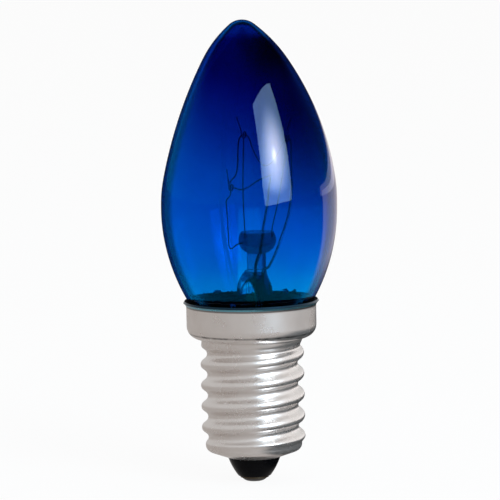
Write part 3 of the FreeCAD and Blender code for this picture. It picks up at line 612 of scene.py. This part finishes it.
def make_filament():
    """A fine coil: a small ring screwed into a helix, then bent along its route."""
    bpy.ops.object.select_all(action="DESELECT")
    bpy.ops.curve.primitive_nurbs_path_add()
    route = bpy.context.active_object
    spline = route.data.splines[0]
    spline.points.add(len(COIL_ROUTE) - len(spline.points))
    for point, place in zip(spline.points, COIL_ROUTE):
        point.co = (*(place * MM), 1.0)
    spline.order_u = 3
    spline.use_endpoint_u = True
    spline.resolution_u = 12
    route.data.use_stretch = False
    length = spline.calc_length()

    bpy.ops.object.select_all(action="DESELECT")
    bpy.ops.mesh.primitive_circle_add(
        vertices=WIRE_SIDES,
        radius=COIL_WIRE * MM,
        location=(COIL_RADIUS * MM, 0, 0),
        rotation=(math.pi / 2, 0, 0),
    )
    coil = bpy.context.active_object
    bpy.ops.object.transform_apply(location=True, rotation=True, scale=True)
    screw = coil.modifiers.new("turns", "SCREW")
    screw.axis = "Z"
    screw.screw_offset = COIL_PITCH * MM
    screw.iterations = int(length / (COIL_PITCH * MM)) - 1
    screw.steps = COIL_STEPS
    screw.render_steps = COIL_STEPS
    screw.use_merge_vertices = False
    follow = coil.modifiers.new("route", "CURVE")
    follow.object = route
    follow.deform_axis = "POS_Z"
    apply_modifiers(coil)
    bpy.data.objects.remove(route)
    pick_only(coil)
    bpy.ops.object.mode_set(mode="EDIT")
    bpy.ops.mesh.select_all(action="SELECT")
    bpy.ops.mesh.normals_make_consistent(inside=False)
    bpy.ops.object.mode_set(mode="OBJECT")
    smooth(coil, 60)
    dress(coil, "filament_coil", metal("tungsten", (0.20, 0.19, 0.19), 0.4), "tungsten", "filament")


# Cap and what is in it

def make_cap():
    dress(smooth_copy("cap_shell"), "screw_cap", cap_metal(), "cap_metal", "cap_shell")
    dress(smooth_copy("insulator"), "contact_cone", black_glass(), "black_glass", "insulator")


def finish_nodes():
    """Nodes whose shape stays as it is, and that get a finish."""
    nickel = metal("nickel_wire", (0.34, 0.33, 0.32), 0.3)
    thin = metal("support_wire", (0.26, 0.26, 0.27), 0.35)
    copper = metal("copper_wire", (0.60, 0.28, 0.15), 0.35)
    # The solder and the contact's brass are darkened as painted shade on the contact's underside
    tin = metal("solder", (0.10, 0.098, 0.095), 0.38, 0.05)
    brass = metal("contact_brass", (0.085, 0.066, 0.045), 0.35)
    finishes = {
        "lead_wire_front": nickel,
        "lead_wire_back": nickel,
        "support_wire_left": thin,
        "support_wire_front_left": thin,
        "support_wire_front_right": thin,
        "seal_wire_front": copper,
        "seal_wire_back": copper,
        "outer_lead_contact": copper,
        "outer_lead_collar": copper,
        "centre_solder": tin,
        "side_solder": tin,
        "contact_plate": brass,
        "basing_cement": cement(),
    }
    for name, finish in finishes.items():
        for place in nodes[name].material_slots:
            place.material = finish


# Floor. Pairs are stretches in metres, to the right of the lamp or behind it

FLOOR_SIZE = 30.0
FLOOR_DROP = 0.05           # below the contact, in millimetres
FLOOR_GREY = (0.80, 0.80, 0.80, 1.0)
FLOOR_WHITE = 0.93          # share of what the camera sees; the rest takes the shadow

# A white sheet, and round it painted shade, seen only through the glass
SHEET_LEFT = (-0.0046, -0.0036)
SHEET_RIGHT = (0.0036, 0.0046)
SHEET_END = (0.350, 0.370)
SHEET_RIGHT_LOSS = 0.6      # painted shade dims the sheet only beyond its right side

# A pale table, painted into reflections in the glass
TABLE_EDGE = (-0.002, 0.010)
TABLE_TURN = 0.38           # how far back the table's edge runs for each metre to the right
TABLE_SIDE = (0.03, 0.08)

# A dark patch, painted into reflections in the metal
CLOSE_START = (0.002, 0.006)
CLOSE_END = (0.06, 0.10)
CLOSE_FRONT = (-0.022, -0.010)


def rays(shades, *kinds):
    """1 for the kinds of ray that are named."""
    total = 0.0
    for kind in kinds:
        total = shades.node("ShaderNodeLightPath", output=kind) + total
    return total


def make_floor():
    """A wide pale floor that keeps a faint shadow, with painted shade seen through the glass and
    painted reflections in the glass and the metal.
    """
    bpy.ops.object.select_all(action="DESELECT")
    bpy.ops.mesh.primitive_plane_add(size=FLOOR_SIZE, location=(0, 0, -FLOOR_DROP * MM))
    floor = bpy.context.active_object
    floor.name = "floor"
    surface = bpy.data.materials.new("floor")
    surface.use_nodes = True
    shades = Shades(surface.node_tree)
    surface.node_tree.nodes.clear()
    plain = shades.node("ShaderNodeBsdfDiffuse", None, {"Color": FLOOR_GREY})
    side, back = shades.split(shades.place(), "XY")

    # Seen through the glass: a white sheet, and round it painted shade in a bluish grey
    sheet = shades.window(side, *SHEET_LEFT) * (1 - shades.window(back, *SHEET_END))
    sheet = sheet * (1 - shades.window(side, *SHEET_RIGHT) * SHEET_RIGHT_LOSS)
    through = shades.mix(sheet, (0.48, 0.52, 0.73), WHITE)
    through = shades.mix(rays(shades, "Is Transmission Ray"), WHITE, through)
    seen = rays(shades, "Is Camera Ray", "Is Transmission Ray")
    mixed = shades.blend(seen * FLOOR_WHITE, plain, shades.glow(through))

    # Mirrored in the glass: painted reflections of a dark room, and of a pale table to the right
    table = shades.window(back - side * TABLE_TURN, *TABLE_EDGE) * shades.window(side, *TABLE_SIDE)
    painted_glass_reflection = shades.mix(table, (0.004, 0.004, 0.005), (0.80, 0.74, 0.77))
    mirrored = rays(shades, "Is Singular Ray") * (1 - rays(shades, "Is Transmission Ray"))
    mixed = shades.blend(mirrored, mixed, shades.glow(painted_glass_reflection))

    # Mirrored in the metal: a painted reflection, dark close to the cap on its right and grey
    # elsewhere
    close = shades.band(side, CLOSE_START, CLOSE_END) * shades.window(back, *CLOSE_FRONT)
    grey = shades.mix(close, (0.50, 0.475, 0.46), (0.015, 0.014, 0.012))
    brushed = rays(shades, "Is Glossy Ray") * (1 - rays(shades, "Is Singular Ray"))
    mixed = shades.blend(brushed, mixed, shades.glow(grey))
    shades.node("ShaderNodeOutputMaterial", None, {"Surface": mixed})
    floor.data.materials.append(surface)


# World, whose light goes by the ray that sees it; a direction's parts run from -1 to 1

WORLD_LIGHT = 0.66
MIRRORED_LOSS = 0.655       # nearly dark in smooth reflections
BRUSHED_GAIN = 0.35         # lighter on the right in rough metal
GAIN_SIDE = (0.1, 0.8)
THROUGH_LOSS = 0.95         # nearly dark overhead, seen through the glass
THROUGH_HEIGHTS = (0.25, 0.5)


def make_world():
    world = bpy.data.worlds.new("studio")
    bpy.context.scene.world = world
    world.use_nodes = True
    shades = Shades(world.node_tree)
    world.node_tree.nodes.clear()
    looks = shades.node("ShaderNodeTexCoord", output="Generated")
    to_right, upwards = shades.split(looks, "XZ")
    camera, through = [rays(shades, kind) for kind in ("Is Camera Ray", "Is Transmission Ray")]
    mirrored = rays(shades, "Is Singular Ray")
    brushed = rays(shades, "Is Glossy Ray") * (1 - mirrored)
    gain = brushed * shades.window(to_right, *GAIN_SIDE) * BRUSHED_GAIN
    strength = (WORLD_LIGHT - mirrored * MIRRORED_LOSS + gain) * (1 - camera - through)
    overhead = shades.window(upwards, *THROUGH_HEIGHTS)
    strength = strength + camera + through * (1 - overhead * THROUGH_LOSS)
    inputs = {"Color": (*WHITE, 1.0), "Strength": strength}
    sky = shades.node("ShaderNodeBackground", None, inputs)
    shades.node("ShaderNodeOutputWorld", None, {"Surface": sky})


# Lights

LIGHT_AIM = Vector((0.0, 0.0, 0.038))
SPOT_REACH = (0.0, 0.08)    # of the softbox's hot centre, in shares of the softbox
GLOW_REACH = (0.0, 0.42)    # and of the glow round it


def soft_light(name, azimuth, elevation, distance, size, radiance, colour, roll=0.0):
    """A rectangular light that faces the lamp; azimuth is to the right of the camera's side."""
    turn, rise = math.radians(azimuth), math.radians(elevation)
    level = math.cos(rise)
    away = Vector((math.sin(turn) * level, -math.cos(turn) * level, math.sin(rise)))
    bpy.ops.object.select_all(action="DESELECT")
    bpy.ops.object.light_add(type="AREA", location=LIGHT_AIM + away * distance)
    light = bpy.context.active_object
    light.name = name
    pose = away.to_track_quat("Z", "Y") @ Quaternion((0, 0, 1), math.radians(roll))
    light.rotation_euler = pose.to_euler()
    light.data.shape = "RECTANGLE"
    light.data.size, light.data.size_y = size
    light.data.color = colour
    light.data.energy = radiance * math.pi * size[0] * size[1]
    return light


def make_lights():
    """A softbox with a hot centre at the front right, and a pale strip behind on the right."""
    softbox = soft_light("softbox", 37.0, 22.3, 0.7, (0.50, 0.63), 4.2, WHITE, roll=4.0)
    softbox.data.use_nodes = True
    shades = Shades(softbox.data.node_tree)
    softbox.data.node_tree.nodes.clear()
    across, up = shades.split(shades.node("ShaderNodeNewGeometry", output="Parametric"), "XY")
    aside, above = across - 0.5, up - 0.5
    reach = (aside * aside * 0.5 + above * above) ** 0.5
    glow = 1 - shades.window(reach, *GLOW_REACH)
    strength = (1 - shades.window(reach, *SPOT_REACH)) * 2.4 + glow * 2.3 + 0.75
    tone = shades.mix(glow, (0.45, 0.75, 1.0), WHITE)
    shades.node("ShaderNodeOutputLight", None, {"Surface": shades.glow(tone, strength)})
    soft_light("table_edge", 136.0, -0.1, 0.8, (0.89, 0.073), 0.58, (1.0, 0.93, 0.97))


# Camera, fitted to the photograph

CAMERA_PLACE = (0.0, -0.495, 0.08665)
CAMERA_DOWN = 6.413
CAMERA_ROLL = 1.2


def make_camera():
    data = bpy.data.cameras.new("camera")
    camera = bpy.data.objects.new("camera", data)
    bpy.context.scene.collection.objects.link(camera)
    down, roll = math.radians(CAMERA_DOWN), math.radians(CAMERA_ROLL)
    ahead = Vector((0, math.cos(down), -math.sin(down)))
    above = Vector((0, math.sin(down), math.cos(down)))
    right = Vector((math.cos(roll), 0, 0)) - above * math.sin(roll)
    top = Vector((math.sin(roll), 0, 0)) + above * math.cos(roll)
    turn = Matrix((right, top, -ahead)).transposed()
    camera.matrix_world = Matrix.Translation(CAMERA_PLACE) @ turn.to_4x4()
    data.sensor_width = 36.0
    data.lens = 269.64
    data.clip_start = 0.01
    bpy.context.scene.camera = camera


make_envelope()
make_stem()
make_filament()
make_cap()
finish_nodes()
make_floor()
make_world()
make_lights()
make_camera()

bpy.context.scene.view_settings.view_transform = "Standard"
